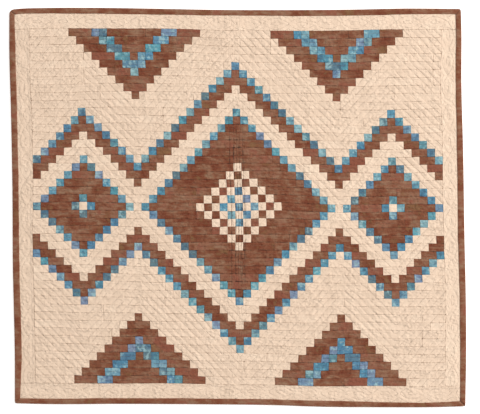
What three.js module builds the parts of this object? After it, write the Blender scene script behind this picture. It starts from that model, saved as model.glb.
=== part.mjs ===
// A pieced and quilted wall quilt in a stepped rug style, lying flat on its back.
// Units are millimetres, +Z is up. The quilt's top edge points to +Y, and the origin is the middle of its underside.
// Pieces: the quilted body (patchwork top, wadding and backing, stitched into one sheet) and four binding strips,
// each folded over one raw edge of the body and mitred at the corners.

import * as THREE from "three";

// Patchwork field, its plain border and the binding, as cut
const PATCH_WIDE = 19.05;
const PATCH_TALL = 19.42;
const FIELD_COLUMNS = 53;
const FIELD_ROWS = 45;
const BORDER_WIDE = 38.1;
const BINDING_FRONT = 12.7;
const BINDING_BACK = 13.5;

// Heights above the surface that the quilt lies on
const BINDING_CLOTH = 1.0; // doubled binding cloth
const SEAT_GAP = 0.3; // between the binding and the body's faces inside it
const RIM_GAP = 0.5; // between the fold of the binding and the body's raw edge, which curve a little apart
const EDGE_THICK = 3.4; // body pressed flat inside the binding
const STITCHED_HEIGHT = 4.3; // body pulled down along the quilting lines
const PUFF_HEIGHT = 6.0; // body between the quilting lines

const BODY_INSET = BINDING_CLOTH + RIM_GAP;
const BODY_EDGE_LOW = BINDING_CLOTH + SEAT_GAP;
const BODY_EDGE_HIGH = BODY_EDGE_LOW + EDGE_THICK;
const BINDING_HEIGHT = BODY_EDGE_HIGH + SEAT_GAP + BINDING_CLOTH;

// How far in from the raw edge the body's faces change
const FRONT_SHOULDER = BINDING_FRONT + 0.2; // the top starts to rise
const BACK_SHOULDER = BINDING_BACK + 0.4; // the underside starts to fall
const BACK_FLOOR = BINDING_BACK + 2.5; // the underside lies on the surface

const FIELD_INSET = BINDING_FRONT + BORDER_WIDE;
const WIDTH = FIELD_COLUMNS * PATCH_WIDE + 2 * FIELD_INSET;
const HEIGHT = FIELD_ROWS * PATCH_TALL + 2 * FIELD_INSET;

// Quilting echoes a zigzag: its valleys and side peaks, in patches from the middle
const ZIGZAG_VALLEY = 13;
const ZIGZAG_PEAK = 20;

const MITRE_GAP = 0.2; // half of the gap between two strips at a corner
const MITRE_END = BINDING_BACK + 1.0; // the strip has its full width from here
const BINDING_STRIDE = 3; // patches between two sections of a binding strip
const OUTER_ROUND = 2.6; // the fold of the binding over the edge
const ROUND_STEPS = 3;
const CORNER_DROP = 5.0; // the top left corner is blunt
const CORNER_REACH = 14.0;

// The edges aren't straight: how far each one lies from its straight line, in millimetres towards +X or +Y
// at: share of the edge's length, from the left or from the bottom
const LEFT_EDGE = [
  { at: 0.0, off: 6.2 },
  { at: 0.14, off: 5.8 },
  { at: 0.24, off: 3.6 },
  { at: 0.34, off: 1.4 },
  { at: 0.54, off: 0.2 },
  { at: 0.74, off: -3.4 },
  { at: 0.9, off: -7.5 },
  { at: 1.0, off: -7.4 },
];
const RIGHT_EDGE = [
  { at: 0.0, off: 3.8 },
  { at: 0.14, off: 5.8 },
  { at: 0.24, off: 5.4 },
  { at: 0.44, off: 1.5 },
  { at: 0.64, off: -1.6 },
  { at: 0.82, off: -6.0 },
  { at: 0.95, off: -6.0 },
  { at: 1.0, off: -7.4 },
];
const TOP_EDGE = [
  { at: 0.0, off: 0.4 },
  { at: 0.08, off: 2.7 },
  { at: 0.2, off: 3.0 },
  { at: 0.33, off: 0.8 },
  { at: 0.46, off: -1.9 },
  { at: 0.6, off: -2.5 },
  { at: 0.76, off: -1.2 },
  { at: 0.88, off: 1.4 },
  { at: 1.0, off: 0.3 },
];
const BOTTOM_EDGE = [
  { at: 0.0, off: 5.2 },
  { at: 0.06, off: 3.6 },
  { at: 0.24, off: 3.8 },
  { at: 0.42, off: 2.8 },
  { at: 0.58, off: 0.6 },
  { at: 0.68, off: -3.2 },
  { at: 0.8, off: -4.3 },
  { at: 0.94, off: -3.9 },
  { at: 1.0, off: -2.0 },
];

// A smooth curve through an edge's table
function edgeCurve(table) {
  const shares = table.map((row) => row.at);
  const offsets = table.map((row) => row.off);
  const curve = new THREE.CubicInterpolant(shares, offsets, 1);
  return (share) => curve.evaluate(share)[0];
}

const leftOff = edgeCurve(LEFT_EDGE);
const rightOff = edgeCurve(RIGHT_EDGE);
const topOff = edgeCurve(TOP_EDGE);
const bottomOff = edgeCurve(BOTTOM_EDGE);

// Where a point of the straight cloth lies: across from the left edge, up from the bottom edge
function place(across, up, z) {
  const shareX = across / WIDTH;
  const shareY = up / HEIGHT;
  const corner = Math.hypot(across, HEIGHT - up);
  const drop = (CORNER_DROP / Math.SQRT2) * Math.exp(-corner / CORNER_REACH);
  const x = across - WIDTH / 2 + THREE.MathUtils.lerp(leftOff(shareY), rightOff(shareY), shareX);
  const y = up - HEIGHT / 2 + THREE.MathUtils.lerp(bottomOff(shareX), topOff(shareX), shareY);
  return new THREE.Vector3(x + drop, y - drop, z);
}

// The body's grid lines along one side: the raw edge, the binding's inner edge, the border's middle, every patch
function gridLines(patches, patchSize, length) {
  const near = [BODY_INSET, FRONT_SHOULDER, BINDING_FRONT + BORDER_WIDE / 2];
  const far = near.map((inset) => length - inset).reverse();
  const field = Array.from({ length: patches + 1 }, (_, k) => FIELD_INSET + k * patchSize);
  return [...near, ...field, ...far];
}

const COLUMN_LINES = gridLines(FIELD_COLUMNS, PATCH_WIDE, WIDTH);
const ROW_LINES = gridLines(FIELD_ROWS, PATCH_TALL, HEIGHT);

// Which quilting line a point of the body lies on, counted outwards from the zigzag; even ones are stitched down
function quiltingLine(column, row) {
  const fromMiddleX = Math.abs(column - (COLUMN_LINES.length - 1) / 2);
  const fromMiddleY = Math.abs(row - (ROW_LINES.length - 1) / 2);
  const rise =
    fromMiddleX <= ZIGZAG_PEAK
      ? Math.abs(fromMiddleX - ZIGZAG_VALLEY)
      : 2 * ZIGZAG_PEAK - ZIGZAG_VALLEY - fromMiddleX;
  return Math.round(fromMiddleY - rise);
}

// Height of the top at a grid point
function topHeight(column, row) {
  const fromEdge = Math.min(column, row, COLUMN_LINES.length - 1 - column, ROW_LINES.length - 1 - row);
  if (fromEdge < 2) {
    return BODY_EDGE_HIGH;
  }
  return quiltingLine(column, row) % 2 === 0 ? STITCHED_HEIGHT : PUFF_HEIGHT;
}

// The quilted body: a raised top, a wall round its raw edge, and an underside that steps over the binding's back
function bodyGeometry() {
  const columns = COLUMN_LINES.length;
  const rows = ROW_LINES.length;
  const points = [];
  const faces = [];
  const addPoint = (across, up, z) => points.push(place(across, up, z)) - 1;
  const addQuad = (a, b, c, d) => faces.push(a, b, c, a, c, d);

  const top = ROW_LINES.map((up, row) =>
    COLUMN_LINES.map((across, column) => addPoint(across, up, topHeight(column, row))),
  );
  for (let row = 0; row < rows - 1; row++) {
    for (let column = 0; column < columns - 1; column++) {
      const corners = [
        top[row][column],
        top[row][column + 1],
        top[row + 1][column + 1],
        top[row + 1][column],
      ];
      // The cell is split along the ridge that runs through it
      const ridgeRises = quiltingLine(column, row) === quiltingLine(column + 1, row + 1);
      addQuad(...(ridgeRises ? corners : [...corners.slice(1), corners[0]]));
    }
  }

  // The grid points round the rim, anticlockwise seen from above
  const rim = [];
  for (let column = 0; column < columns - 1; column++) rim.push([column, 0]);
  for (let row = 0; row < rows - 1; row++) rim.push([columns - 1, row]);
  for (let column = columns - 1; column > 0; column--) rim.push([column, rows - 1]);
  for (let row = rows - 1; row > 0; row--) rim.push([0, row]);

  // A loop of points under the rim, moved in to an inset
  const loop = (inset, z) =>
    rim.map(([column, row]) =>
      addPoint(
        THREE.MathUtils.clamp(COLUMN_LINES[column], inset, WIDTH - inset),
        THREE.MathUtils.clamp(ROW_LINES[row], inset, HEIGHT - inset),
        z,
      ),
    );
  const loops = [
    rim.map(([column, row]) => top[row][column]),
    loop(BODY_INSET, BODY_EDGE_LOW),
    loop(BACK_SHOULDER, BODY_EDGE_LOW),
    loop(BACK_FLOOR, 0),
  ];
  for (let k = 0; k < loops.length - 1; k++) {
    rim.forEach((_, n) => {
      const next = (n + 1) % rim.length;
      addQuad(loops[k][n], loops[k + 1][n], loops[k + 1][next], loops[k][next]);
    });
  }
  const middle = addPoint(WIDTH / 2, HEIGHT / 2, 0);
  const floor = loops.at(-1);
  floor.forEach((point, n) => faces.push(point, middle, floor[(n + 1) % floor.length]));

  return new THREE.BufferGeometry().setFromPoints(points).setIndex(faces);
}

// Section of a binding strip: x is the distance in from the folded edge, y the height
function bindingSection() {
  const section = new THREE.Shape();
  section.moveTo(BINDING_BACK, 0);
  section.lineTo(BINDING_BACK, BINDING_CLOTH);
  section.lineTo(BINDING_CLOTH, BINDING_CLOTH);
  section.lineTo(BINDING_CLOTH, BINDING_HEIGHT - BINDING_CLOTH);
  section.lineTo(BINDING_FRONT, BINDING_HEIGHT - BINDING_CLOTH);
  section.lineTo(BINDING_FRONT, BINDING_HEIGHT);
  section.lineTo(OUTER_ROUND, BINDING_HEIGHT);
  section.absarc(OUTER_ROUND, BINDING_HEIGHT - OUTER_ROUND, OUTER_ROUND, Math.PI / 2, Math.PI, false);
  section.absarc(OUTER_ROUND, OUTER_ROUND, OUTER_ROUND, Math.PI, 1.5 * Math.PI, false);
  section.closePath();
  return section;
}

// A binding strip: the section extruded along one edge of the cloth, its ends cut to mitres
// toCloth turns (distance along the edge, distance in from it) into a point of the straight cloth
function bindingGeometry(lines, length, toCloth) {
  const between = lines.filter((at, k) => {
    const fromEnd = Math.min(k, lines.length - 1 - k);
    return fromEnd === 2 || (fromEnd > 2 && (k - 3) % BINDING_STRIDE === 0);
  });
  const stations = [MITRE_END, ...between, length - MITRE_END];
  const last = stations.length + 1;
  const strip = new THREE.ExtrudeGeometry(bindingSection(), {
    depth: last,
    steps: last,
    curveSegments: ROUND_STEPS,
    bevelEnabled: false,
  });
  const points = strip.getAttribute("position");
  for (let n = 0; n < points.count; n++) {
    const inset = points.getX(n);
    const station = Math.round(points.getZ(n));
    let along = stations[station - 1];
    if (station === 0) along = inset + MITRE_GAP;
    if (station === last) along = length - inset - MITRE_GAP;
    const [across, up] = toCloth(along, inset);
    const where = place(across, up, points.getY(n));
    points.setXYZ(n, where.x, where.y, where.z);
  }
  strip.deleteAttribute("normal");
  strip.deleteAttribute("uv");
  return strip;
}

// The strips run anticlockwise round the quilt, so their sections all face the same way
const BINDING_RUNS = {
  binding_bottom: [COLUMN_LINES, WIDTH, (along, inset) => [along, inset]],
  binding_right: [ROW_LINES, HEIGHT, (along, inset) => [WIDTH - inset, along]],
  binding_top: [COLUMN_LINES, WIDTH, (along, inset) => [WIDTH - along, HEIGHT - inset]],
  binding_left: [ROW_LINES, HEIGHT, (along, inset) => [inset, HEIGHT - along]],
};

// Turns a geometry's faces round where they point inwards
function facingOut(geometry) {
  const solid = geometry.index ? geometry.toNonIndexed() : geometry;
  const points = solid.getAttribute("position");
  const [a, b, c] = [new THREE.Vector3(), new THREE.Vector3(), new THREE.Vector3()];
  let volume = 0;
  for (let n = 0; n < points.count; n += 3) {
    a.fromBufferAttribute(points, n);
    b.fromBufferAttribute(points, n + 1);
    c.fromBufferAttribute(points, n + 2);
    volume += a.dot(b.cross(c)) / 6;
  }
  if (volume < 0) {
    for (let n = 0; n < points.count; n += 3) {
      b.fromBufferAttribute(points, n + 1);
      c.fromBufferAttribute(points, n + 2);
      points.setXYZ(n + 1, c.x, c.y, c.z);
      points.setXYZ(n + 2, b.x, b.y, b.z);
    }
  }
  solid.computeVertexNormals();
  return solid;
}

const piecedCotton = new THREE.MeshStandardMaterial({ color: 0xe7cdb4, roughness: 0.9, metalness: 0 });
const brownBatik = new THREE.MeshStandardMaterial({ color: 0x7d4a37, roughness: 0.88, metalness: 0 });

function addPiece(group, name, geometry, material) {
  const mesh = new THREE.Mesh(facingOut(geometry), material);
  mesh.name = name;
  group.add(mesh);
}

const quilt = new THREE.Group();
addPiece(quilt, "quilt_body", bodyGeometry(), piecedCotton);
for (const [name, [lines, length, toCloth]] of Object.entries(BINDING_RUNS)) {
  addPiece(quilt, name, bindingGeometry(lines, length, toCloth), brownBatik);
}

// The uneven outline's box is centred over the origin
const box = new THREE.Box3().setFromObject(quilt);
const middle = box.getCenter(new THREE.Vector3());
for (const mesh of quilt.children) {
  mesh.position.set(-middle.x, -middle.y, 0);
}

export default quilt;
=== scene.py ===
import math

import bmesh
import bpy
import numpy as np
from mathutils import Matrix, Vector
from mathutils.bvhtree import BVHTree


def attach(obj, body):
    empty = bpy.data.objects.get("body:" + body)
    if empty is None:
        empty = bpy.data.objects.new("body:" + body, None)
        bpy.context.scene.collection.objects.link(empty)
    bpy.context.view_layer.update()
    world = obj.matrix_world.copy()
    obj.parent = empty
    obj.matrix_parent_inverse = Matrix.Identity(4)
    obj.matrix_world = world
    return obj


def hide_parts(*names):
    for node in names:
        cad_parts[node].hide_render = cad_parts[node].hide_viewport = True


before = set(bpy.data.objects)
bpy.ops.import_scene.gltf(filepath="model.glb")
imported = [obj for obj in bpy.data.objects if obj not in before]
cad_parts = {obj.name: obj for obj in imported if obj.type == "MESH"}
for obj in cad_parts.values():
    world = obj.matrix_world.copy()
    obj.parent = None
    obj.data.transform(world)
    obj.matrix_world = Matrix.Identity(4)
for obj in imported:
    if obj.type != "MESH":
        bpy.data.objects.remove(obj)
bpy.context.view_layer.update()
print("frame loaded:", sorted(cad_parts))

mm = 0.001
close = 1e-6
draws = np.random.default_rng(53)  # one seed for every random draw below

# The cloth as cut, in millimetres: across from its left edge, up from its bottom edge
cloth = {
    "patchWide": 19.05,
    "patchTall": 19.42,
    "columns": 53,
    "rows": 45,
    "border": 38.1,
    "bindingFront": 12.7,
    "warpFade": 70.0,  # the rows run straight again this close to the edges
    "cornerJitter": 0.45,  # patch corners that don't quite meet
    "rimSteps": 400,  # places along an edge where the outline is measured
    "cornerRounds": {
        ("left", "top"): 12.0,  # the blunt corner
        ("right", "top"): 4.5,
        ("left", "bottom"): 4.0,
        ("right", "bottom"): 2.5,
    },
}
cloth["fieldInset"] = cloth["bindingFront"] + cloth["border"]
cloth["wide"] = cloth["columns"] * cloth["patchWide"] + 2 * cloth["fieldInset"]
cloth["tall"] = cloth["rows"] * cloth["patchTall"] + 2 * cloth["fieldInset"]

# Uneven edges: share of the edge's length, millimetres off its straight line
edgeTables = {
    "left": (
        (0, 6.2), (0.14, 5.8), (0.24, 3.6), (0.34, 1.4),
        (0.54, 0.2), (0.74, -3.4), (0.9, -7.5), (1, -7.4),
    ),
    "right": (
        (0, 3.8), (0.14, 5.8), (0.24, 5.4), (0.44, 1.5),
        (0.64, -1.6), (0.82, -6.0), (0.95, -6.0), (1, -7.4),
    ),
    "top": (
        (0, -1.4), (0.03, 1.3), (0.08, 2.7), (0.2, 3.0), (0.33, 0.8), (0.46, -1.9),
        (0.6, -2.5), (0.76, -1.2), (0.88, 1.4), (1, 0.3),
    ),
    "bottom": (
        (0, 5.2), (0.06, 3.6), (0.24, 3.8), (0.42, 2.8), (0.58, 0.6),
        (0.68, -3.2), (0.8, -4.3), (0.94, -3.9), (1, -2.0),
    ),
}

# Slow waves of the pieced rows: amplitude in mm, waves across, waves up, phase
rowWaves = ((1.5, 1.3, 0.8, 0.4), (1.0, 2.6, -1.1, 2.1), (0.7, 4.3, 2.2, 4.0))
columnWaves = ((1.2, 0.7, 1.6, 1.0), (0.8, -1.2, 2.9, 3.3), (0.5, 2.4, 4.6, 5.2))


def eased(t):
    t = np.clip(t, 0, 1)
    return t * t * (3 - 2 * t)


def alongTable(table, share):
    # smooth curve through a short table
    at, off = np.array(table, float).T
    slope = np.gradient(off, at)
    k = np.clip(np.searchsorted(at, share) - 1, 0, len(at) - 2)
    span = at[k + 1] - at[k]
    t = (share - at[k]) / span
    lead = span * (slope[k] * t * (1 - t) ** 2 - slope[k + 1] * t * t * (1 - t))
    return off[k] + (off[k + 1] - off[k]) * eased(t) + lead


def waves(table, shareX, shareY):
    return sum(
        size * np.sin(2 * np.pi * (across * shareX + up * shareY) + phase)
        for size, across, up, phase in table
    )


def between(grid, x, y):
    # a lattice of values grid[y][x], read softly between its points
    x = np.clip(x, 0, grid.shape[1] - 1)
    y = np.clip(y, 0, grid.shape[0] - 1)
    i = np.minimum(x.astype(int), grid.shape[1] - 2)
    j = np.minimum(y.astype(int), grid.shape[0] - 2)
    fx, fy = eased(x - i), eased(y - j)
    low = grid[j, i] * (1 - fx) + grid[j, i + 1] * fx
    high = grid[j + 1, i] * (1 - fx) + grid[j + 1, i + 1] * fx
    return low * (1 - fy) + high * fy


def roundCorners(across, up):
    # the binding's outer corners are round, and what lies further in than the radius stays square
    for (side, end), radius in cloth["cornerRounds"].items():
        turnX, turnY = (1 if side == "left" else -1), (1 if end == "bottom" else -1)
        p = np.clip(1 - (across if side == "left" else cloth["wide"] - across) / radius, 0, 1)
        q = np.clip(1 - (up if end == "bottom" else cloth["tall"] - up) / radius, 0, 1)
        across = across + turnX * radius * p * (1 - np.sqrt(1 - q * q / 2))
        up = up + turnY * radius * q * (1 - np.sqrt(1 - p * p / 2))
    return across, up


cornerShift = cloth["cornerJitter"] * draws.uniform(-1, 1, (2, cloth["rows"] + 1, cloth["columns"] + 1))


def patchAt(across, up):
    # column and row of a point, with the share of the patch that lies left of it and below it
    column = (across - cloth["fieldInset"]) / cloth["patchWide"]
    return column, (up - cloth["fieldInset"]) / cloth["patchTall"]


def fromEdges(across, up):
    return {"left": across, "right": cloth["wide"] - across, "bottom": up, "top": cloth["tall"] - up}


def layCloth(across, up):
    # where a point of the straight cloth lies, in millimetres from the middle of the cut rectangle
    across, up = roundCorners(np.asarray(across, float), np.asarray(up, float))
    shareX, shareY = across / cloth["wide"], up / cloth["tall"]
    fromEdge = np.minimum.reduce(list(fromEdges(across, up).values()))
    free = eased((fromEdge - cloth["bindingFront"]) / cloth["warpFade"])
    column, row = patchAt(across, up)
    left, right = alongTable(edgeTables["left"], shareY), alongTable(edgeTables["right"], shareY)
    bottom, top = alongTable(edgeTables["bottom"], shareX), alongTable(edgeTables["top"], shareX)
    x = across - cloth["wide"] / 2 + left + (right - left) * shareX
    y = up - cloth["tall"] / 2 + bottom + (top - bottom) * shareY
    x = x + free * (waves(columnWaves, shareX, shareY) + between(cornerShift[0], column, row))
    y = y + free * (waves(rowWaves, shareX, shareY) + between(cornerShift[1], column, row))
    return x, y


rim = np.linspace(0, 1, cloth["rimSteps"])
rimX, rimY = layCloth(
    np.concatenate([rim, rim, 0 * rim, 0 * rim + 1]) * cloth["wide"],
    np.concatenate([0 * rim, 0 * rim + 1, rim, rim]) * cloth["tall"],
)
clothMiddle = ((rimX.min() + rimX.max()) / 2, (rimY.min() + rimY.max()) / 2)


def toFrame(across, up, z):
    # cloth millimetres to the frame's metres, with the outline's box centred as the solids are
    x, y = layCloth(across, up)
    return np.stack([x - clothMiddle[0], y - clothMiddle[1], np.broadcast_to(z, x.shape)], axis=-1) * mm


# The patchwork chart: stepped diamonds between zigzag bands, with half diamonds along both long edges
chart = {
    "middleRings": (
        (0, "blue"), (1, "cream"), (2, "blue"), (3, "cream"),
        (4, "brown"), (5, "cream"), (11, "brown"), (12, "blue"),
    ),
    "sideRings": ((0, "cream"), (1, "blue"), (5, "brown"), (6, "blue")),
    "halfRings": ((2, "brown"), (4, "blue"), (8, "brown")),  # from the outside in
    "zigzagSteps": {3: "brown", 4: "brown", 5: "blue"},
    "sideDiamond": 20,  # columns from the middle
    "valley": 13,  # where the zigzags come closest to the middle row
    "halfTall": 8,
}
colours = ("cream", "brown", "blue")


def ringColour(distance, rings):
    return next((colour for reach, colour in rings if distance <= reach), None)


def zigzag(fromMiddle):
    rise = abs(fromMiddle - chart["valley"])
    return np.minimum(rise, 2 * chart["sideDiamond"] - chart["valley"] - fromMiddle)


def patchColour(column, row):
    u, v = abs(column - cloth["columns"] // 2), abs(row - cloth["rows"] // 2)
    half = chart["halfTall"] - (cloth["rows"] // 2 - v) - abs(u - chart["valley"])
    if half >= 0:
        return ringColour(half, chart["halfRings"])
    diamond = ringColour(u + v, chart["middleRings"])
    diamond = diamond or ringColour(abs(u - chart["sideDiamond"]) + v, chart["sideRings"])
    return diamond or chart["zigzagSteps"].get(int(v - zigzag(u)), "cream")


# Each row is a string of strips, a strip being a run of one colour no longer than its cloth was cut
strips = {
    "longest": {"cream": (7, 13), "brown": (4, 9), "blue": (1, 2)},  # in patches
    "boltReach": 4.0,  # metres of dyed cloth, either way, that a strip may be cut from
}
patchIs = np.array(
    [
        [colours.index(patchColour(column, row)) for column in range(cloth["columns"])]
        for row in range(cloth["rows"])
    ]
)
stripStart = np.ones((cloth["rows"], cloth["columns"] + 1), bool)  # True where a seam stands left of a patch
for row in range(cloth["rows"]):
    left = 0
    for column in range(1, cloth["columns"]):
        low, high = strips["longest"][colours[patchIs[row, left]]]
        same = patchIs[row, column] == patchIs[row, left]
        stripStart[row, column] = not same or column - left >= draws.integers(low, high + 1)
        if stripStart[row, column]:
            left = column
stripOf = np.cumsum(stripStart[:, :-1].ravel()).reshape(patchIs.shape) - 1
stripCount = int(stripOf.max()) + 1
shares = {colour: round(float((patchIs == k).mean()), 3) for k, colour in enumerate(colours)}
print("chart drawn:", shares, "strips", stripCount)


def toLinear(hexColour):
    parts = [int(hexColour[k : k + 2], 16) / 255 for k in (0, 2, 4)]
    return tuple(c / 12.92 if c <= 0.04045 else ((c + 0.055) / 1.055) ** 2.4 for c in parts) + (1.0,)


def addNode(tree, kind, settings=None, links=None, stops=()):
    # links: input name or number to an output socket or a plain value; stops: a ramp's places and colours
    node = tree.nodes.new(kind)
    for name, value in (settings or {}).items():
        setattr(node, name, value)
    for name, source in (links or {}).items():
        if isinstance(source, bpy.types.NodeSocket):
            tree.links.new(source, node.inputs[name])
        else:
            node.inputs[name].default_value = source
    if stops:
        points = node.color_ramp.elements
        points[0].position, points[1].position = stops[0][0], stops[-1][0]
        for at, _ in stops[1:-1]:
            points.new(at)
        for point, (_, hexColour) in zip(points, stops):
            point.color = toLinear(hexColour)
    return node


# Relief and shading that every cotton in the quilt shares, in millimetres
weave = {
    "yarnPitch": 0.9,  # real yarn is 0.35, drawn coarser so that the weave still shows
    "yarnRelief": 0.05,
    "crinkle": (8.0, 5.6),  # small puckers between the stitches: along the rows, across them
    "crinkleRelief": (0.8, 2.5),  # calmer here, fuller there
    "creasePitch": 13.0,  # longer soft creases
    "creaseRelief": 0.7,
    "pucker": (3.6, 15.0),  # short gathers across the row seams, in the same way
    "puckerRelief": 1.15,
    "puckerReach": 6.0,
    "allowance": (5.8, 6.7),  # the pressed seam allowances end here, and their edges show through
    "allowanceRelief": 0.4,
    "seamLine": 0.9,  # half width of the shadow in a seam
    "stitchLine": 1.3,  # half width of the groove along the quilting
    "stitchRelief": 0.8,
    # how dark the painted shade along the quilting lines is
    "stitchShade": 0.18,
    "quiltingPitch": 13.6,  # between two quilting lines
    "wanderPitch": 11.0,  # seams and stitching show more and less along their length
    "wanderRange": (0.36, 0.64),  # of the noise, from the least shown to the most
    "lineShown": (0.2, 1.0),
    "fullPitch": 34.0,  # so do the puckers from place to place
    "fullRange": (0.35, 0.65),
}


def cottonMaterial(name, look, dye):
    # woven cotton: matt, a soft sheen from loose fibre ends, fine crossing threads, puckered by stitching
    material = bpy.data.materials.new(name)
    material.use_nodes = True
    tree = material.node_tree
    shader = tree.nodes["Principled BSDF"]
    where, shift = (
        addNode(tree, "ShaderNodeAttribute", {"attribute_name": attribute}).outputs["Vector"]
        for attribute in ("clothAt", "stripShift")
    )
    tone, seam, phase = (
        addNode(tree, "ShaderNodeAttribute", {"attribute_name": attribute}).outputs["Fac"]
        for attribute in ("stripTone", "seamAway", "quiltPhase")
    )
    onBolt = addNode(tree, "ShaderNodeVectorMath", {"operation": "ADD"}, {0: where, 1: shift}).outputs[0]

    # change from place to place, long creases, then puckers drawn out one way
    wander, places, crease = (
        addNode(
            tree, "ShaderNodeTexNoise", {"noise_dimensions": "2D"},
            {"Vector": where, "Scale": 1 / (weave[pitch] * mm), "Detail": detail, "Distortion": bent},
        ).outputs["Fac"]
        for pitch, detail, bent in (
            ("wanderPitch", 2.0, 0.0), ("fullPitch", 1.0, 0.0), ("creasePitch", 1.0, 1.2),
        )
    )
    puckers = []
    for (along, across), detail, bent in ((weave["crinkle"], 0.6, 0.2), (weave["pucker"], 1.0, 0.0)):
        drawnOut = addNode(
            tree, "ShaderNodeMapping", {"vector_type": "POINT"},
            {"Vector": where, "Scale": (1 / (along * mm), 1 / (across * mm), 1.0)},
        ).outputs["Vector"]
        pucker = addNode(
            tree, "ShaderNodeTexNoise", {"noise_dimensions": "2D"},
            {"Vector": drawnOut, "Scale": 1.0, "Detail": detail, "Distortion": bent},
        )
        puckers.append(pucker.outputs["Fac"])
    crinkle, gather = puckers
    shown, fullness = (
        addNode(
            tree, "ShaderNodeMapRange", {},
            {"Value": noise, "From Min": low, "From Max": high, "To Min": least, "To Max": most},
        ).outputs["Result"]
        for noise, (low, high), (least, most) in (
            (wander, weave["wanderRange"], weave["lineShown"]),
            (places, weave["fullRange"], weave["crinkleRelief"]),
        )
    )

    # what lies along the seams and the stitching, fading away from them: the painted shadow in a seam, the
    # stitched groove, gathers and the allowance's edge
    lineAway = addNode(tree, "ShaderNodeMath", {"operation": "PINGPONG"}, {0: phase, 1: 0.5}).outputs[0]
    seamShadow, groove, nearSeam, allowance = (
        addNode(
            tree, "ShaderNodeMapRange", {"interpolation_type": "SMOOTHSTEP"},
            {"Value": away, "From Min": start, "From Max": end, "To Min": most, "To Max": 0.0},
        ).outputs["Result"]
        for away, (start, end), most in (
            (seam, (0.0, weave["seamLine"]), 1.0),
            (lineAway, (0.0, weave["stitchLine"] / weave["quiltingPitch"]), 1.0),
            (seam, (0.0, weave["puckerReach"]), weave["puckerRelief"]),
            (seam, weave["allowance"], 1.0),
        )
    )
    # painted shade: a shadow in the seams and a fainter one along the quilting, shown more in some places
    # than others
    stitched = addNode(
        tree, "ShaderNodeMath", {"operation": "MULTIPLY"}, {0: groove, 1: weave["stitchShade"]}
    ).outputs[0]
    lines = addNode(tree, "ShaderNodeMath", {"operation": "MAXIMUM"}, {0: seamShadow, 1: stitched}).outputs[0]
    shade = addNode(tree, "ShaderNodeMath", {"operation": "MULTIPLY"}, {0: lines, 1: shown}).outputs[0]

    # the dyed colour of this strip, with painted shade along its seams and stitching
    shaded = addNode(
        tree, "ShaderNodeMix", {"data_type": "RGBA", "blend_type": "MULTIPLY"},
        {"Factor": shade, "A": dye(tree, onBolt, tone), "B": toLinear(look["seamShade"])},
    ).outputs["Result"]
    tree.links.new(shaded, shader.inputs["Base Color"])

    # puckers, creases, gathers along the seams, stitched grooves and threads as fine relief
    height = addNode(tree, "ShaderNodeMath", {"operation": "MULTIPLY"}, {0: crinkle, 1: fullness}).outputs[0]
    sewn = addNode(
        tree, "ShaderNodeMath", {"operation": "MULTIPLY"}, {0: shown, 1: -weave["stitchRelief"]}
    ).outputs[0]
    reliefs = (
        (crease, weave["creaseRelief"]),
        (gather, nearSeam),
        (allowance, weave["allowanceRelief"]),
        (groove, sewn),
    )
    for pattern, relief in reliefs:
        height = addNode(
            tree, "ShaderNodeMath", {"operation": "MULTIPLY_ADD"}, {0: pattern, 1: relief, 2: height}
        ).outputs[0]
    height = addNode(
        tree, "ShaderNodeMath", {"operation": "MULTIPLY"}, {0: height, 1: look["looseness"]}
    ).outputs[0]
    for direction in ("X", "Y"):
        yarn = addNode(
            tree, "ShaderNodeTexWave", {"bands_direction": direction},
            {"Vector": where, "Scale": math.pi / (10 * weave["yarnPitch"] * mm)},  # a band is pi / 10 wide
        ).outputs["Fac"]
        height = addNode(
            tree, "ShaderNodeMath", {"operation": "MULTIPLY_ADD"},
            {0: yarn, 1: weave["yarnRelief"], 2: height},
        ).outputs[0]
    bump = addNode(tree, "ShaderNodeBump", {}, {"Strength": 1.0, "Distance": mm, "Height": height})
    tree.links.new(bump.outputs["Normal"], shader.inputs["Normal"])
    shader.inputs["Roughness"].default_value = look["roughness"]
    shader.inputs["IOR"].default_value = 1.46
    shader.inputs["Specular IOR Level"].default_value = 0.25
    shader.inputs["Sheen Weight"].default_value = look["sheen"]
    shader.inputs["Sheen Roughness"].default_value = 0.55
    return material


# Unbleached peach cream cotton with a faint cloudy dye
cream = {
    "clouds": 34.0,
    "stripChange": 0.25,
    "tones": ((0.3, "dec3aa"), (0.62, "e6cbb2"), (0.95, "ecd3ba")),
    # seamShade: colour multiplied in as painted shade along the seams and quilting, in each cotton
    "seamShade": "897160",
    "looseness": 1.0,
    "roughness": 0.9,
    "sheen": 0.12,
}


def creamDye(tree, onBolt, tone):
    cloud = addNode(
        tree, "ShaderNodeTexNoise", {},
        {"Vector": onBolt, "Scale": 1 / (cream["clouds"] * mm), "Detail": 4.0, "Roughness": 0.6},
    ).outputs["Fac"]
    mixed = addNode(
        tree, "ShaderNodeMath", {"operation": "MULTIPLY_ADD"}, {0: tone, 1: cream["stripChange"], 2: cloud}
    ).outputs[0]
    return addNode(tree, "ShaderNodeValToRGB", {}, {"Fac": mixed}, cream["tones"]).outputs["Color"]


# Hand dyed brown cotton: streaked along the row, clouded with rust and olive
brown = {
    "streaks": (30.0, 9.0),  # along the row, across it
    "tones": ((0.42, "6b301a"), (0.53, "7e4d35"), (0.64, "917158")),
    "clouds": 40.0,
    "cloudShare": 0.6,  # of the mottling, the rest being streaks
    "rust": "83412e",
    "rustRange": (0.6, 0.82, 0.8),  # of the clouds: where it starts, where it is strongest, its share there
    "olive": "826341",
    "oliveRange": (0.42, 0.31, 0.6),
    "stripChange": 0.26,  # some strips are redder
    "stripLight": 0.12,  # and some lighter
    "seamShade": "69534a",
    "looseness": 1.0,
    "roughness": 0.88,
    "sheen": 0.1,
}


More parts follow.
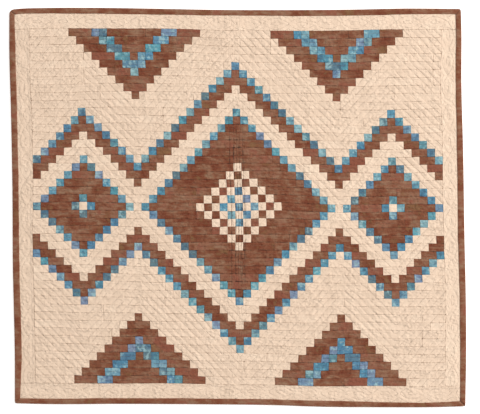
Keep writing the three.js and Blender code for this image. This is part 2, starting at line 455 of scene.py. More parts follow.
def brownDye(tree, onBolt, tone):
    along, across = brown["streaks"]
    pulled = addNode(
        tree, "ShaderNodeMapping", {"vector_type": "POINT"},
        {"Vector": onBolt, "Scale": (1 / (along * mm), 1 / (across * mm), 1 / (across * mm))},
    ).outputs["Vector"]
    streak = addNode(
        tree, "ShaderNodeTexNoise", {},
        {"Vector": pulled, "Scale": 1.0, "Detail": 5.0, "Roughness": 0.65, "Distortion": 0.5},
    ).outputs["Fac"]
    cloud = addNode(
        tree, "ShaderNodeTexNoise", {},
        {"Vector": onBolt, "Scale": 1 / (brown["clouds"] * mm), "Detail": 4.0, "Roughness": 0.6},
    ).outputs["Fac"]
    mottle = addNode(
        tree, "ShaderNodeMix", {"data_type": "FLOAT"},
        {"Factor": brown["cloudShare"], "A": streak, "B": cloud},
    ).outputs["Result"]
    mottle = addNode(
        tree, "ShaderNodeMath", {"operation": "MULTIPLY_ADD"}, {0: tone, 1: brown["stripLight"], 2: mottle}
    ).outputs[0]
    base = addNode(tree, "ShaderNodeValToRGB", {}, {"Fac": mottle}, brown["tones"]).outputs["Color"]
    redder = addNode(
        tree, "ShaderNodeMath", {"operation": "MULTIPLY_ADD"}, {0: tone, 1: brown["stripChange"], 2: cloud}
    ).outputs[0]
    stained = base
    for stain, source in (("rust", redder), ("olive", cloud)):
        start, end, most = brown[stain + "Range"]
        share = addNode(
            tree, "ShaderNodeMapRange", {"interpolation_type": "SMOOTHSTEP"},
            {"Value": source, "From Min": start, "From Max": end, "To Max": most},
        ).outputs["Result"]
        stained = addNode(
            tree, "ShaderNodeMix", {"data_type": "RGBA"},
            {"Factor": share, "A": stained, "B": toLinear(brown[stain])},
        ).outputs["Result"]
    return stained


# Hand dyed blue cotton: every square is cut from another part of a turquoise to violet cloth
blue = {
    "tones": (
        (0.0, "54909b"), (0.17, "507d9a"), (0.33, "5d737a"), (0.5, "5a9aa6"),
        (0.66, "7c88a0"), (0.83, "4c86a0"), (1.0, "80a2a5"),
    ),
    "clouds": 26.0,
    "blotches": 7.0,
    "pale": "9bbbbd",
    "paleRange": (1.02, 1.26, 0.75),  # as for the brown cloth's stains
    "deep": "40627a",
    "deepRange": (0.98, 0.75, 0.7),
    "seamShade": "525f66",
    "looseness": 1.0,
    "roughness": 0.88,
    "sheen": 0.1,
}


def blueDye(tree, onBolt, tone):
    main = addNode(tree, "ShaderNodeValToRGB", {}, {"Fac": tone}, blue["tones"]).outputs["Color"]
    cloud, blotch = (
        addNode(
            tree, "ShaderNodeTexNoise", {},
            {"Vector": onBolt, "Scale": 1 / (blue[size] * mm), "Detail": detail, "Distortion": 0.4},
        ).outputs["Fac"]
        for size, detail in (("clouds", 1.0), ("blotches", 5.0))
    )
    mixed = addNode(tree, "ShaderNodeMath", {"operation": "ADD"}, {0: cloud, 1: blotch}).outputs[0]
    washed = main
    for wash in ("pale", "deep"):
        start, end, most = blue[wash + "Range"]
        share = addNode(
            tree, "ShaderNodeMapRange", {"interpolation_type": "SMOOTHSTEP"},
            {"Value": mixed, "From Min": start, "From Max": end, "To Max": most},
        ).outputs["Result"]
        washed = addNode(
            tree, "ShaderNodeMix", {"data_type": "RGBA"},
            {"Factor": share, "A": washed, "B": toLinear(blue[wash])},
        ).outputs["Result"]
    return washed


creamCotton = cottonMaterial("creamCotton", cream, creamDye)
brownBatik = cottonMaterial("brownBatik", brown, brownDye)
blueBatik = cottonMaterial("blueBatik", blue, blueDye)
backingCotton = cottonMaterial("backingCotton", cream, creamDye)
tightBrown = {**brown, "looseness": 0.55}  # the same brown, pulled tight round the edge
bindingBatik = cottonMaterial("bindingBatik", tightBrown, brownDye)
print("cottons dyed:", [m.name for m in (creamCotton, brownBatik, blueBatik, backingCotton, bindingBatik)])


def newAttribute(mesh, name, kind, domain, values):
    attribute = mesh.attributes.new(name, kind, domain)
    field = "vector" if kind == "FLOAT_VECTOR" else "value"
    attribute.data.foreach_set(field, np.ascontiguousarray(values, np.float32).ravel())


def meshPoints(mesh):
    points = np.empty(len(mesh.vertices) * 3, np.float32)
    mesh.vertices.foreach_get("co", points)
    return points.reshape(-1, 3).astype(float)


def placePoints(mesh, points):
    mesh.vertices.foreach_set("co", points.astype(np.float32).ravel())
    mesh.update()


def addPiece(name, mesh, materials):
    for material in materials:
        mesh.materials.append(material)
    mesh.polygons.foreach_set("use_smooth", np.ones(len(mesh.polygons), bool))
    piece = bpy.data.objects.new(name, mesh)
    bpy.context.scene.collection.objects.link(piece)
    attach(piece, "root")
    return piece


def finishPiece(name, bm, materials):
    bmesh.ops.recalc_face_normals(bm, faces=bm.faces)
    mesh = bpy.data.meshes.new(name)
    bm.to_mesh(mesh)
    bm.free()
    return addPiece(name, mesh, materials)


# Binding: a doubled strip folded over each raw edge, mitred at the corners
binding = {
    "fronts": {  # width of its face: share of the edge's length, millimetres
        "left": ((0, 16.6), (0.12, 17.5), (0.3, 16.9), (0.5, 15.9), (0.8, 15.6), (0.92, 15.6), (1, 13.4)),
        "right": ((0, 15.0), (0.2, 15.2), (0.4, 16.2), (0.6, 15.7), (0.8, 14.4), (1, 13.8)),
        "top": (
            (0, 8.8), (0.03, 12.2), (0.1, 14.0), (0.3, 14.8),
            (0.5, 14.0), (0.7, 15.2), (0.9, 14.4), (1, 13.0),
        ),
        "bottom": ((0, 13.6), (0.3, 14.6), (0.6, 14.6), (0.72, 15.0), (0.82, 12.8), (0.9, 11.2), (1, 10.6)),
    },
    "back": 13.5,
    "clothThick": 1.0,
    "innerLow": 1.0,
    "innerHigh": 5.0,
    "thick": 6.0,
    "fold": 2.7,  # radius of the fold over the edge
    "foldSteps": 6,
    "crown": 0.45,  # the front is a little full
    "crownSteps": 6,
    "crownEnd": 0.9,  # short of the sewn edge
    # the section near its sewn edges: in from the edge, above that layer's own level
    "backEdge": ((0, 0.45), (0.5, 0.05), (4.5, 0), (8, 0)),
    "frontEdge": ((0.25, -0.2), (0, -0.6)),
    "frontInside": ((0.15, 0.05), (4, 0)),
    "backInside": ((4, 0), (0.3, 0)),
    "mitreGap": 0.1,
    "mitreEase": 12.0,  # how soon the face has its own width after a mitre
    "step": 6.0,  # between two sections
    "stripTone": 0.42,  # of its dye, 0 to 1
    "sewnWander": 0.45,  # the sewn edge isn't quite straight
    "sewnWaves": ((31, 1), (17.3, 3), (8.9, 5)),  # reach in millimetres, phase
    "fullWander": 0.3,  # nor is the front evenly full
    "fullWaves": (23, 57),
    "fullFrom": (0.2, 0.8),  # above the front's inside: none below the first, all above the second
}


def fromBinding(across, up):
    # millimetres in from the sewn edge of the binding's face
    shares = {"left": up / cloth["tall"], "bottom": across / cloth["wide"]}
    shares["right"], shares["top"] = shares["left"], shares["bottom"]
    gaps = [
        away - alongTable(binding["fronts"][edge], shares[edge])
        for edge, away in fromEdges(across, up).items()
    ]
    return np.minimum.reduce(gaps)


# The quilted sheet: patchwork top, wadding and backing, shaped in cloth millimetres and laid out at the end
quilt = {
    "cells": (0.0, 0.11, 0.36, 0.64, 0.89),  # grid lines in a patch, closer beside the seams
    "borderCells": 10,
    "rawEdge": 1.5,  # inside the fold of the binding
    "rimHigh": 4.7,
    "rimLow": 1.3,
    "stitchedHeight": 4.5,
    "puffHeight": 0.8,
    "puffFullness": 3.5,
    "lowestTop": 2.6,
    "seamDitch": 0.5,
    "seamReach": 2.0,
    "allowance": 6.35,  # seam allowance pressed to one side
    "allowanceHeight": 0.25,
    "cablePitch": 3.4,  # twisted cable in the border, in patches
    "cableSwell": 0.72,
    "cableMiddle": 0.88,
    "cableRings": 0.52,  # between its echoes
    "cableEchoes": (-1, 0, 1),  # inside, the cable itself, outside
    "darkChannels": 2,  # the brown and blue patches are quilted along their rows
    "centreLines": (-19.0, -8.5, -2.0, 4.7, 14.0),  # upright quilting through the middle
    "centreSpread": 1.6,
    "centreDepth": 1.0,
    "centreSharp": 0.55,  # its shadow is broader than that in a seam
    "centreLength": 300.0,  # it fades out above and below
    "centreFade": 2.0,
    "centreLeast": 0.2,  # where its stitches stop
    "clearOfSeam": 0.9,  # its own grid lines keep this far from seams
    "clearOfLine": 1.2,  # and others this far from them
    "unevenness": ((0.25, 3.1, 2.2, 0.3), (0.18, -5.3, 4.1, 1.9), (0.15, 8.7, -6.9, 4.4)),
    "longStrip": 3,  # long strips were cut from one even length of cloth
    "longTone": 0.6,
    "puckers": ((8.0, 0.35), (19.0, 0.25)),  # pitch, height
    "borderPuckers": 1.6,
    "puffChange": (70.0, 0.7),  # some lines are drawn down more than others: pitch, share
    "sway": (30.0, 0.2),  # hand guided lines sway: pitch, share of their spacing
    "openEdge": 7.0,  # the cloth rises this far in from the binding
    "backShoulder": 12.0,  # the backing steps over the binding's back
    "backFloor": 17.0,
    "backCells": (0.0, 0.5),
    "backBorderCells": 4,
    "backHeight": 0.15,
    "backPull": 1.0,  # the stitching draws the backing up
}
far = 9.0  # further than any shading along a seam reaches
creamZone, darkZone, borderZone = 0, 1, 2


def gridLines(patches, patchSize, length, cells, near):
    steps = np.arange(patches)[:, None] + np.array(cells)
    field = cloth["fieldInset"] + np.append(steps.ravel(), patches) * patchSize
    return np.concatenate([near, field, length - near[::-1]])


def gridOf(cells, near):
    return (
        gridLines(cloth["columns"], cloth["patchWide"], cloth["wide"], cells, near),
        gridLines(cloth["rows"], cloth["patchTall"], cloth["tall"], cells, near),
    )


topBorder = np.linspace(cloth["bindingFront"], cloth["fieldInset"], quilt["borderCells"], endpoint=False)
rimLines = [quilt["rawEdge"], (quilt["rawEdge"] + cloth["bindingFront"]) / 2]
topAcross, topUp = gridOf(quilt["cells"], np.concatenate([rimLines, topBorder]))
# the upright quilting gets grid lines of its own, and those too close to it go
centreAt = cloth["wide"] / 2 + np.array(quilt["centreLines"])
seamAt = cloth["fieldInset"] + np.arange(cloth["columns"] + 1) * cloth["patchWide"]
drawn = np.concatenate([centreAt + step * quilt["centreSpread"] for step in (-1, 0, 1)])
drawn = drawn[np.abs(drawn[:, None] - seamAt).min(axis=1) > quilt["clearOfSeam"]]
fromDrawn = np.abs(topAcross[:, None] - drawn).min(axis=1)
stays = (fromDrawn > quilt["clearOfLine"]) | np.isin(topAcross, seamAt)
topGrid = (np.sort(np.append(topAcross[stays], drawn)), topUp)
backBorder = np.linspace(quilt["backFloor"], cloth["fieldInset"], quilt["backBorderCells"], endpoint=False)
backGrid = gridOf(quilt["backCells"], np.append(quilt["backShoulder"], backBorder))


def pastField(across, up):
    # how far a point lies outside the patchwork field, sideways and lengthways, in patches
    column, row = patchAt(across, up)
    return np.maximum(-column, column - cloth["columns"]), np.maximum(-row, row - cloth["rows"])


def patchIndex(across, up):
    column, row = patchAt(across, up)
    column = np.clip(np.floor(column).astype(int), 0, cloth["columns"] - 1)
    return column, np.clip(np.floor(row).astype(int), 0, cloth["rows"] - 1)


def zoneAt(across, up):
    column, row = patchIndex(across, up)
    inField = np.where(patchIs[row, column] == 0, creamZone, darkZone)
    return np.where(np.maximum(*pastField(across, up)) > 0, borderZone, inField)


def cable(along, edge):
    # half the width of the border's cable, in patches, crossing at the middle and the corners of an edge
    reach = edge / 2 + quilt["cableMiddle"]
    loops = np.round(reach / quilt["cablePitch"])
    return quilt["cableSwell"] * np.abs(np.sin(np.pi * along * loops / reach))


def quiltPhase(across, up, zone):
    # quilting runs where this is a whole number: echoes on cream, channels on dark, a cable in the border
    column, row = patchAt(across, up)
    u, v = column - cloth["columns"] / 2, row - cloth["rows"] / 2
    echo = np.abs(v) - zigzag(np.abs(u))
    pastSide, pastEnd = pastField(across, up)
    onEnd = pastEnd > pastSide
    swell = cable(np.where(onEnd, u, v), np.where(onEnd, cloth["columns"], cloth["rows"]))
    twist = (np.abs(np.maximum(pastSide, pastEnd) - quilt["cableMiddle"]) - swell) / quilt["cableRings"]
    return np.choose(zone, [echo, row * quilt["darkChannels"], twist])


def stitchedDown(across, up):
    # 1 on a quilting line and 0 midway between two, the mean of what meets at a seam
    total = 0
    for x, y in ((-1, -1), (-1, 1), (1, -1), (1, 1)):
        phase = quiltPhase(across, up, zoneAt(across + x * close, up + y * close))
        total = total + 1 - 2 * np.abs(phase - np.round(phase))
    return total / 4


def seamAway(across, up):
    # millimetres to the nearest seam of the patchwork or of its border
    column, row = patchAt(across, up)
    pastSide, pastEnd = pastField(across, up)
    rowIndex = np.clip(np.floor(row + close).astype(int), 0, cloth["rows"] - 1)
    nearest = np.clip(np.round(column).astype(int), 0, cloth["columns"])
    away = np.abs(row - np.round(row)) * cloth["patchTall"]
    gap = np.abs(column - nearest) * cloth["patchWide"]
    away = np.where(stripStart[rowIndex, nearest], np.minimum(away, gap), away)
    outX, outY = np.maximum(pastSide, 0) * cloth["patchWide"], np.maximum(pastEnd, 0) * cloth["patchTall"]
    endSeam = np.abs(pastEnd) * cloth["patchTall"]  # the side borders end against the long ones
    border = np.where(pastSide > close, np.minimum(np.hypot(outX, outY), endSeam), outY)
    return np.where((pastSide > close) | (pastEnd > close), border, away)


ringed = np.pad(patchIs, 1)  # the cream border all round the chart


def shadowAway(across, up, column, row):
    # the same from inside one patch: a cream one shows a thin shadow only where it meets cream
    own = patchIs[row, column]
    x, y = patchAt(across, up)
    x, y = x - column, y - row
    away = np.full(x.shape, far)
    for gap, seam, other in (
        (x * cloth["patchWide"], stripStart[row, column], ringed[row + 1, column]),
        ((1 - x) * cloth["patchWide"], stripStart[row, column + 1], ringed[row + 1, column + 2]),
        (y * cloth["patchTall"], True, ringed[row, column + 1]),
        ((1 - y) * cloth["patchTall"], True, ringed[row + 2, column + 1]),
    ):
        away = np.where(seam & ((own > 0) | (other == own)), np.minimum(away, gap), away)
    return away


def centreLine(across, up):
    # millimetres to the upright quilting, and how strongly it shows here
    away = np.abs(np.asarray(across)[..., None] - centreAt).min(axis=-1)
    return away, np.exp(-(((up - cloth["tall"] / 2) / quilt["centreLength"]) ** 4))


*puckerLattices, puffLattice, swayLattice = (
    draws.uniform(-1, 1, (int(cloth["tall"] / pitch) + 2, int(cloth["wide"] / pitch) + 2))
    for pitch, _ in (*quilt["puckers"], quilt["puffChange"], quilt["sway"])
)


def swayAt(across, up):
    pitch, share = quilt["sway"]
    return share * between(swayLattice, across / pitch, up / pitch)


def topHeight(across, up):
    stitched = stitchedDown(across, up)
    pitch, change = quilt["puffChange"]
    puff = quilt["puffHeight"] * (1 + change * between(puffLattice, across / pitch, up / pitch))
    height = quilt["stitchedHeight"] + quilt["puffHeight"] - puff * stitched ** quilt["puffFullness"]
    height = height + waves(quilt["unevenness"], across / cloth["wide"], up / cloth["tall"])
    inBorder = np.maximum(*pastField(across, up)) > 0
    looser = np.where(inBorder, quilt["borderPuckers"], 1)
    for lattice, (pitch, size) in zip(puckerLattices, quilt["puckers"]):
        height = height + looser * size * between(lattice, across / pitch, up / pitch)
    height = height - quilt["seamDitch"] * np.exp(-((seamAway(across, up) / quilt["seamReach"]) ** 2))
    row = patchAt(across, up)[1]
    pressed = (np.ceil(row) - row) * cloth["patchTall"] < quilt["allowance"]
    height = height + quilt["allowanceHeight"] * (pressed & ~inBorder)
    fromLine, shown = centreLine(across, up)
    height = height - quilt["centreDepth"] * shown * np.exp(-((fromLine / quilt["centreSpread"]) ** 2))
    risen = np.clip(fromBinding(across, up) / quilt["openEdge"], 0, 1)
    return np.maximum(quilt["rimHigh"] + (height - quilt["rimHigh"]) * risen, quilt["lowestTop"])


def backHeight(across, up):
    inside = np.minimum.reduce(list(fromEdges(across, up).values()))
    pulled = quilt["backHeight"] + quilt["backPull"] * stitchedDown(across, up)
    return np.where(inside < quilt["backFloor"] - close, quilt["rimLow"], pulled)


def gridIndex(places, count):
    # grid position of each vertex of a fresh grid, which spans -1 to 1
    return np.rint((np.array(places) + 1) / 2 * count).astype(int)


def layGrid(bm, lines, heightOf):
    columns, rows = len(lines[0]) - 1, len(lines[1]) - 1
    verts = bmesh.ops.create_grid(bm, x_segments=columns, y_segments=rows, size=1.0)["verts"]
    across = lines[0][gridIndex([v.co.x for v in verts], columns)]
    up = lines[1][gridIndex([v.co.y for v in verts], rows)]
    for vert, place in zip(verts, np.stack([across, up, heightOf(across, up)], axis=-1)):
        vert.co = place


def splitCells(bm):
    # each cell is split along the quilting line that runs through it
    places = np.array([[v.co.xy for v in face.verts] for face in bm.faces])
    middle = places.mean(axis=1)
    zone = zoneAt(middle[:, 0], middle[:, 1])
    a, b, c, d = (quiltPhase(places[:, k, 0], places[:, k, 1], zone) for k in range(4))
    ways = {"FIXED": np.abs(a - c) < np.abs(b - d), "ALTERNATE": np.abs(a - c) >= np.abs(b - d)}
    cells = list(bm.faces)
    for way, chosen in ways.items():
        faces = [face for face, taken in zip(cells, chosen) if taken]
        bmesh.ops.triangulate(bm, faces=faces, quad_method=way, ngon_method="BEAUTY")


def buildQuilt():
    bm = bmesh.new()
    layGrid(bm, topGrid, topHeight)
    layGrid(bm, backGrid, backHeight)
    splitCells(bm)
    rims = [e for e in bm.edges if e.is_boundary]
    topRim = [e for e in rims if min(v.co.z for v in e.verts) > quilt["lowestTop"]]
    backRim = [e for e in rims if max(v.co.z for v in e.verts) < quilt["lowestTop"]]
    # the raw edge, then the hidden allowance under the back of the binding
    made = bmesh.ops.extrude_edge_only(bm, edges=topRim)["geom"]
    for vert in (g for g in made if isinstance(g, bmesh.types.BMVert)):
        vert.co.z = quilt["rimLow"]
    rawRim = [g for g in made if isinstance(g, bmesh.types.BMEdge) and g.is_boundary]
    bmesh.ops.bridge_loops(bm, edges=rawRim + backRim)
    bmesh.ops.triangulate(bm, faces=[f for f in bm.faces if len(f.verts) > 3])
    return finishPiece("patchworkQuilt", bm, (creamCotton, brownBatik, blueBatik, backingCotton))


def dressQuilt(piece):
    mesh = piece.data
    across, up, height = meshPoints(mesh).T
    corners = np.empty(len(mesh.loops), np.int32)
    mesh.loops.foreach_get("vertex_index", corners)
    faces = corners.reshape(-1, 3)
    middleX, middleY = across[faces].mean(axis=1), up[faces].mean(axis=1)
    onTop = height[faces].min(axis=1) > quilt["lowestTop"] - close
    zone = zoneAt(middleX, middleY)
    inField = zone != borderZone
    column, row = patchIndex(middleX, middleY)
    pastEnd = pastField(middleX, middleY)[1]
    # the strips of the patchwork, then those of the border (top, bottom, right, left), then the backing
    side = np.where(pastEnd > 0, np.where(row > 0, 0, 1), np.where(column > 0, 2, 3))
    cut = np.where(inField, stripOf[row, column], stripCount + side)
    backCut = stripCount + 4
    cut = np.where(onTop, cut, backCut)
    which = np.where(onTop, np.where(inField, patchIs[row, column], 0), len(colours))
    mesh.polygons.foreach_set("material_index", which.astype(np.int32))
    bolt = strips["boltReach"]
    shift = draws.uniform(-bolt, bolt, (backCut + 1, 3))
    tone = draws.uniform(0, 1, backCut + 1)
    patches = np.bincount(stripOf.ravel(), minlength=len(tone))
    tone = np.where(patches > quilt["longStrip"], quilt["longTone"] * tone, tone)
    newAttribute(mesh, "clothAt", "FLOAT_VECTOR", "POINT", np.stack([across, up, 0 * up], axis=-1) * mm)
    newAttribute(mesh, "stripShift", "FLOAT_VECTOR", "FACE", shift[cut])
    newAttribute(mesh, "stripTone", "FLOAT", "FACE", tone[cut])
    cornerX, cornerY = across[corners], up[corners]
    # millimetres to the seams and the upright quilting, along which the cottons paint a shadow and gather;
    # the upright quilting's painted shadow is broader
    inPatch = shadowAway(cornerX, cornerY, np.repeat(column, 3), np.repeat(row, 3))
    away = np.where(np.repeat(inField, 3), inPatch, seamAway(cornerX, cornerY))
    fromLine, shown = centreLine(cornerX, cornerY)
    away = np.minimum(away, quilt["centreSharp"] * fromLine + quilt["centreFade"] * (1 - shown))
    newAttribute(mesh, "seamAway", "FLOAT", "CORNER", np.where(np.repeat(onTop, 3), away, far))
    phase = quiltPhase(cornerX, cornerY, np.repeat(zone, 3)) + swayAt(cornerX, cornerY)
    newAttribute(mesh, "quiltPhase", "FLOAT", "CORNER", phase)
    placePoints(mesh, toFrame(across, up, height))


patchworkQuilt = buildQuilt()
dressQuilt(patchworkQuilt)
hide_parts("quilt_body")
print("quilt pieced:", len(patchworkQuilt.data.polygons), "triangles")


def bindingSection():
    # once round from the back's sewn edge: in from the fold, and up; the face is as wide as the back here
    fold, thick, wide = binding["fold"], binding["thick"], binding["back"]
    inner, low, high = binding["clothThick"], binding["innerLow"], binding["innerHigh"]

    def nearEdge(points, level):
        return [(wide - back, level + above) for back, above in binding[points]]

    turn = np.linspace(0, math.pi / 2, binding["foldSteps"])
    lowFold = [(fold - fold * math.sin(t), fold - fold * math.cos(t)) for t in turn]
    highFold = [(fold - fold * math.cos(t), thick - fold + fold * math.sin(t)) for t in turn[1:]]
    across = np.linspace(fold, wide - binding["crownEnd"], binding["crownSteps"])[1:]
    face = [(s, thick + binding["crown"] * math.sin(math.pi * (s - fold) / (wide - fold))) for s in across]
    outside = nearEdge("backEdge", 0) + lowFold + highFold + face + nearEdge("frontEdge", thick)
    pocket = nearEdge("frontInside", high) + [(inner, high), (inner, low)] + nearEdge("backInside", low)
    return np.array(outside + pocket)


bindingSides = {
    "bindingBottom": ("bottom", "wide", lambda along, inset: (along, inset)),
    "bindingRight": ("right", "tall", lambda along, inset: (cloth["wide"] - inset, along)),
    "bindingTop": ("top", "wide", lambda along, inset: (cloth["wide"] - along, cloth["tall"] - inset)),
    "bindingLeft": ("left", "tall", lambda along, inset: (inset, cloth["tall"] - along)),
}


def buildBinding(name, edge, length, toCloth):
    section = bindingSection()
    loop = np.vstack([section, section[:1]])
    stations = int(round(length / binding["step"]))
    bm = bmesh.new()
    verts = bmesh.ops.create_grid(bm, x_segments=stations, y_segments=len(section), size=1.0)["verts"]
    share = gridIndex([v.co.x for v in verts], stations) / stations
    inset, height = loop[gridIndex([v.co.y for v in verts], len(section))].T
    along = inset + binding["mitreGap"] + share * (length - 2 * (inset + binding["mitreGap"]))
    edgeShare = along / length if edge in ("bottom", "right") else 1 - along / length
    # the face is as wide as its table says, and its sewn edge wanders
    stretch = alongTable(binding["fronts"][edge], edgeShare) / binding["back"]
    onFace = np.clip((inset - binding["fold"]) / (binding["back"] - binding["fold"]), 0, 1)
    ease = np.clip(binding["mitreEase"] * share * (1 - share), 0, 1)
    onFace = onFace * (height > binding["innerHigh"] - close) * ease
    wander = np.mean([np.sin(along / reach + phase) for reach, phase in binding["sewnWaves"]], axis=0)
    inset = inset + onFace * (binding["back"] * (stretch - 1) + binding["sewnWander"] * wander)
    start, end = binding["fullFrom"]
    full = np.clip((height - binding["innerHigh"] - start) / (end - start), 0, 1)
    reach, change = binding["fullWaves"]
    height = height + binding["fullWander"] * full * np.sin(along / reach + 2 * np.sin(along / change))
    for vert, place in zip(verts, np.stack([along, inset, height], axis=-1)):
        vert.co = place
    bmesh.ops.remove_doubles(bm, verts=bm.verts, dist=0.001)
    bmesh.ops.holes_fill(bm, edges=[e for e in bm.edges if e.is_boundary], sides=0)
    bmesh.ops.triangulate(bm, faces=[f for f in bm.faces if len(f.verts) > 4])
    piece = finishPiece(name, bm, (bindingBatik,))
    mesh = piece.data
    along, inset, height = meshPoints(mesh).T
    across, up = toCloth(along, inset)
    bolt = strips["boltReach"]
    strip = np.tile(draws.uniform(-bolt, bolt, 3), (len(mesh.polygons), 1))
    newAttribute(mesh, "clothAt", "FLOAT_VECTOR", "POINT", np.stack([across, up, height], axis=-1) * mm)
    newAttribute(mesh, "stripShift", "FLOAT_VECTOR", "FACE", strip)
    newAttribute(mesh, "stripTone", "FLOAT", "FACE", np.full(len(mesh.polygons), binding["stripTone"]))
    newAttribute(mesh, "seamAway", "FLOAT", "POINT", np.full(len(mesh.vertices), far))
    newAttribute(mesh, "quiltPhase", "FLOAT", "CORNER", np.full(len(mesh.loops), 0.5))
    placePoints(mesh, toFrame(across, up, height))
    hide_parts("binding_" + edge)
    return piece


bindings = [
    buildBinding(name, edge, cloth[size], toCloth)
    for name, (edge, size, toCloth) in bindingSides.items()
]
print("bound:", [len(b.data.polygons) for b in bindings])

# Quilting thread: running stitches along the quilting lines, lying in their grooves
thread = {
    "pitch": 3.4,
    "drawn": 0.68,  # share of the pitch that lies on top
    "wide": 0.85,
    "high": 0.45,
    "sunk": 0.1,
    "keepOff": 2.0,  # from the binding
    "overrun": 2,  # patches past the field, so that a line reaches over the border
    "cream": "eddac5",
    "brown": "97694f",
}


def threadMaterial(name, hexColour):
    # cotton quilting thread: matt, a shade lighter than the cloth under it
    material = bpy.data.materials.new(name)
    material.use_nodes = True
    shader = material.node_tree.nodes["Principled BSDF"]
    shader.inputs["Base Color"].default_value = toLinear(hexColour)
    shader.inputs["Roughness"].default_value = 0.75
    shader.inputs["Sheen Weight"].default_value = 0.1
    return material


def fromPatches(column, row):
    return cloth["fieldInset"] + column * cloth["patchWide"], cloth["fieldInset"] + row * cloth["patchTall"]


# Each line gives across, up and whether it is drawn there
def echoLine(n, turn):
    def place(t):
        out = n + zigzag(np.abs(t - cloth["columns"] / 2))
        row = cloth["rows"] / 2 + turn * out
        return *fromPatches(t, row - turn * swayAt(*fromPatches(t, row))), out > 0
    return place


def channelLine(row):
    def place(t):
        sway = swayAt(*fromPatches(t, row + 0.5)) / quilt["darkChannels"]
        return *fromPatches(t, row + 0.5 - sway), t > 0
    return place


def cableLine(n, half, onSide, turn):
    # half: which side of the cable's middle; turn: -1 below or left of the field, 1 above or right of it
    size, deep = (cloth["rows"], cloth["columns"]) if onSide else (cloth["columns"], cloth["rows"])

    def onBorder(t, swell):
        out = quilt["cableMiddle"] + half * swell
        foot = -out if turn < 0 else deep + out
        return fromPatches(foot, t) if onSide else fromPatches(t, foot)

    def place(t):
        swell = cable(t - size / 2, size) + n * quilt["cableRings"]
        across, up = onBorder(t, swell - quilt["cableRings"] * swayAt(*onBorder(t, swell)))
        pastSide, pastEnd = pastField(across, up)
        return across, up, (swell > 0) & ((pastSide >= pastEnd) == onSide)
    return place


def uprightLine(at):
    def place(t):
        up = fromPatches(0, t)[1]
        across = np.full(up.shape, at)
        return across, up, centreLine(across, up)[1] > quilt["centreLeast"]
    return place


def stitchesAlong(place, length, step, zone):
    # start, middle and end of each stitch along a line, where all three lie in its zone
    t = np.arange(-thread["overrun"], length + thread["overrun"], step) + draws.uniform(0, step)
    ends = zip(*(place(t + k * thread["drawn"] * step / 2) for k in (-1, 0, 1)))
    across, up, shown = (np.stack(parts, axis=1) for parts in ends)
    kept = shown & (zoneAt(across, up) == zone) & (fromBinding(across, up) > thread["keepOff"])
    return np.stack([across, up], axis=-1)[kept.all(axis=1)]


def quiltingStitches():
    columns, rows = cloth["columns"], cloth["rows"]
    slanted = thread["pitch"] / math.hypot(cloth["patchWide"], cloth["patchTall"])
    level, upright = thread["pitch"] / cloth["patchWide"], thread["pitch"] / cloth["patchTall"]
    lines = [(echoLine(n, turn), slanted, creamZone) for n in range(1 - rows // 2, rows) for turn in (-1, 1)]
    lines += [(channelLine(row), level, darkZone) for row in range(rows)]
    lines += [(uprightLine(at), upright, zone) for at in centreAt for zone in (creamZone, darkZone)]
    lines += [
        (cableLine(n, half, onSide, turn), level, borderZone)
        for n in quilt["cableEchoes"]
        for half in (-1, 1)
        for onSide in (True, False)
        for turn in (-1, 1)
    ]
    return np.concatenate([stitchesAlong(place, columns, step, zone) for place, step, zone in lines])


def buildThread():
    stitches = quiltingStitches()
    dark = zoneAt(stitches[:, 1, 0], stitches[:, 1, 1]) == darkZone
    places = toFrame(stitches[..., 0], stitches[..., 1], 0.0)
    bm = bmesh.new()
    bm.from_mesh(patchworkQuilt.data)
    surface = BVHTree.FromBMesh(bm)
    bm.free()
    down, above = Vector((0, 0, -1)), Vector((0, 0, 0.1))
    heights = [surface.ray_cast(Vector(place) + above, down)[0].z for place in places.reshape(-1, 3)]
    places[..., 2] = np.reshape(heights, places.shape[:2])
    start, middle, end = places[:, 0], places[:, 1], places[:, 2]
    run = (end - start)[:, :2]
    side = np.zeros(start.shape)
    side[:, 0], side[:, 1] = -run[:, 1], run[:, 0]
    side *= thread["wide"] * mm / 2 / np.hypot(run[:, 0], run[:, 1])[:, None]
    sunk, high = np.array((0, 0, thread["sunk"])) * mm, np.array((0, 0, thread["high"])) * mm
    points = [start - sunk, end - sunk, middle + side - sunk / 2, middle - side - sunk / 2, middle + high]
    corners = np.array(((0, 3, 4), (3, 1, 4), (1, 2, 4), (2, 0, 4), (0, 2, 1), (0, 1, 3)))  # a low kite
    faces = np.arange(len(stitches))[:, None, None] * len(points) + corners
    mesh = bpy.data.meshes.new("quiltingThread")
    mesh.from_pydata(np.stack(points, axis=1).reshape(-1, 3).tolist(), [], faces.reshape(-1, 3).tolist())
    piece = addPiece(
        "quiltingThread", mesh,
        (threadMaterial("creamThread", thread["cream"]), threadMaterial("brownThread", thread["brown"])),
    )
    mesh.polygons.foreach_set("material_index", np.repeat(dark, len(corners)).astype(np.int32))
    return piece


quiltingThread = buildThread()
print("quilted:", len(quiltingThread.data.polygons), "triangles of thread")

# Plain pale floor, soft studio light, and the camera straight above
studio = {
    "floorSize": 40.0,
    "floorColour": "fbfaf8",
    "floorGlow": 0.5,  # lit from below, so that it takes no shadow
    "floorDrop": 0.0004,
    "frameWide": 480,
    "mmPerPixel": 2.463,
    "pictureOff": (2.28, 0.5),  # picture's middle from the quilt's middle, in pixels right and up
    "lens": 100.0,
    "sensor": 36.0,
    "keyPower": 709.0,
    "keySize": 2.7,
    "keyAt": (6.8, 3.0, 5.2),
    "fill": 0.637,
}

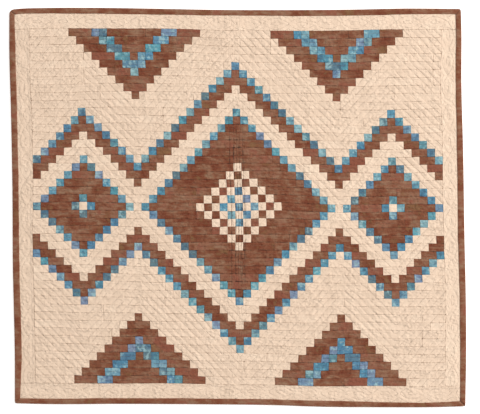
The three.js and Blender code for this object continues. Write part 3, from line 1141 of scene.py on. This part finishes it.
bm = bmesh.new()
bmesh.ops.create_grid(bm, x_segments=1, y_segments=1, size=studio["floorSize"] / 2)
bmesh.ops.translate(bm, verts=bm.verts, vec=(0, 0, -studio["floorDrop"]))
floorMesh = bpy.data.meshes.new("studioFloor")
bm.to_mesh(floorMesh)
bm.free()
studioFloor = bpy.data.objects.new("studioFloor", floorMesh)
bpy.context.scene.collection.objects.link(studioFloor)
acrylic = bpy.data.materials.new("litWhiteAcrylic")  # light table: matt, almost white
acrylic.use_nodes = True
acrylicShader = acrylic.node_tree.nodes["Principled BSDF"]
acrylicShader.inputs["Base Color"].default_value = toLinear(studio["floorColour"])
acrylicShader.inputs["Roughness"].default_value = 0.95
acrylicShader.inputs["Specular IOR Level"].default_value = 0.1
acrylicShader.inputs["Emission Color"].default_value = toLinear(studio["floorColour"])
acrylicShader.inputs["Emission Strength"].default_value = studio["floorGlow"]
floorMesh.materials.append(acrylic)

world = bpy.data.worlds.new("softRoom")
bpy.context.scene.world = world
world.use_nodes = True
world.node_tree.nodes["Background"].inputs["Color"].default_value = (1, 1, 1, 1)
world.node_tree.nodes["Background"].inputs["Strength"].default_value = studio["fill"]

keyData = bpy.data.lights.new("softKey", "AREA")
keyData.energy = studio["keyPower"]
keyData.shape = "DISK"
keyData.size = studio["keySize"]
softKey = bpy.data.objects.new("softKey", keyData)
softKey.location = studio["keyAt"]
softKey.rotation_euler = (-softKey.location).to_track_quat("-Z", "Y").to_euler()
bpy.context.scene.collection.objects.link(softKey)

cameraData = bpy.data.cameras.new("overheadCamera")
cameraData.lens = studio["lens"]
cameraData.sensor_width = studio["sensor"]
overhead = bpy.data.objects.new("overheadCamera", cameraData)
pictureWide = studio["frameWide"] * studio["mmPerPixel"] * mm
offX, offY = (pixels * studio["mmPerPixel"] * mm for pixels in studio["pictureOff"])
overhead.location = (offX, offY, pictureWide * studio["lens"] / studio["sensor"])
bpy.context.scene.collection.objects.link(overhead)
bpy.context.scene.camera = overhead
bpy.context.scene.view_settings.view_transform = "Standard"
print("studio lit, camera at", [round(c, 3) for c in overhead.location])
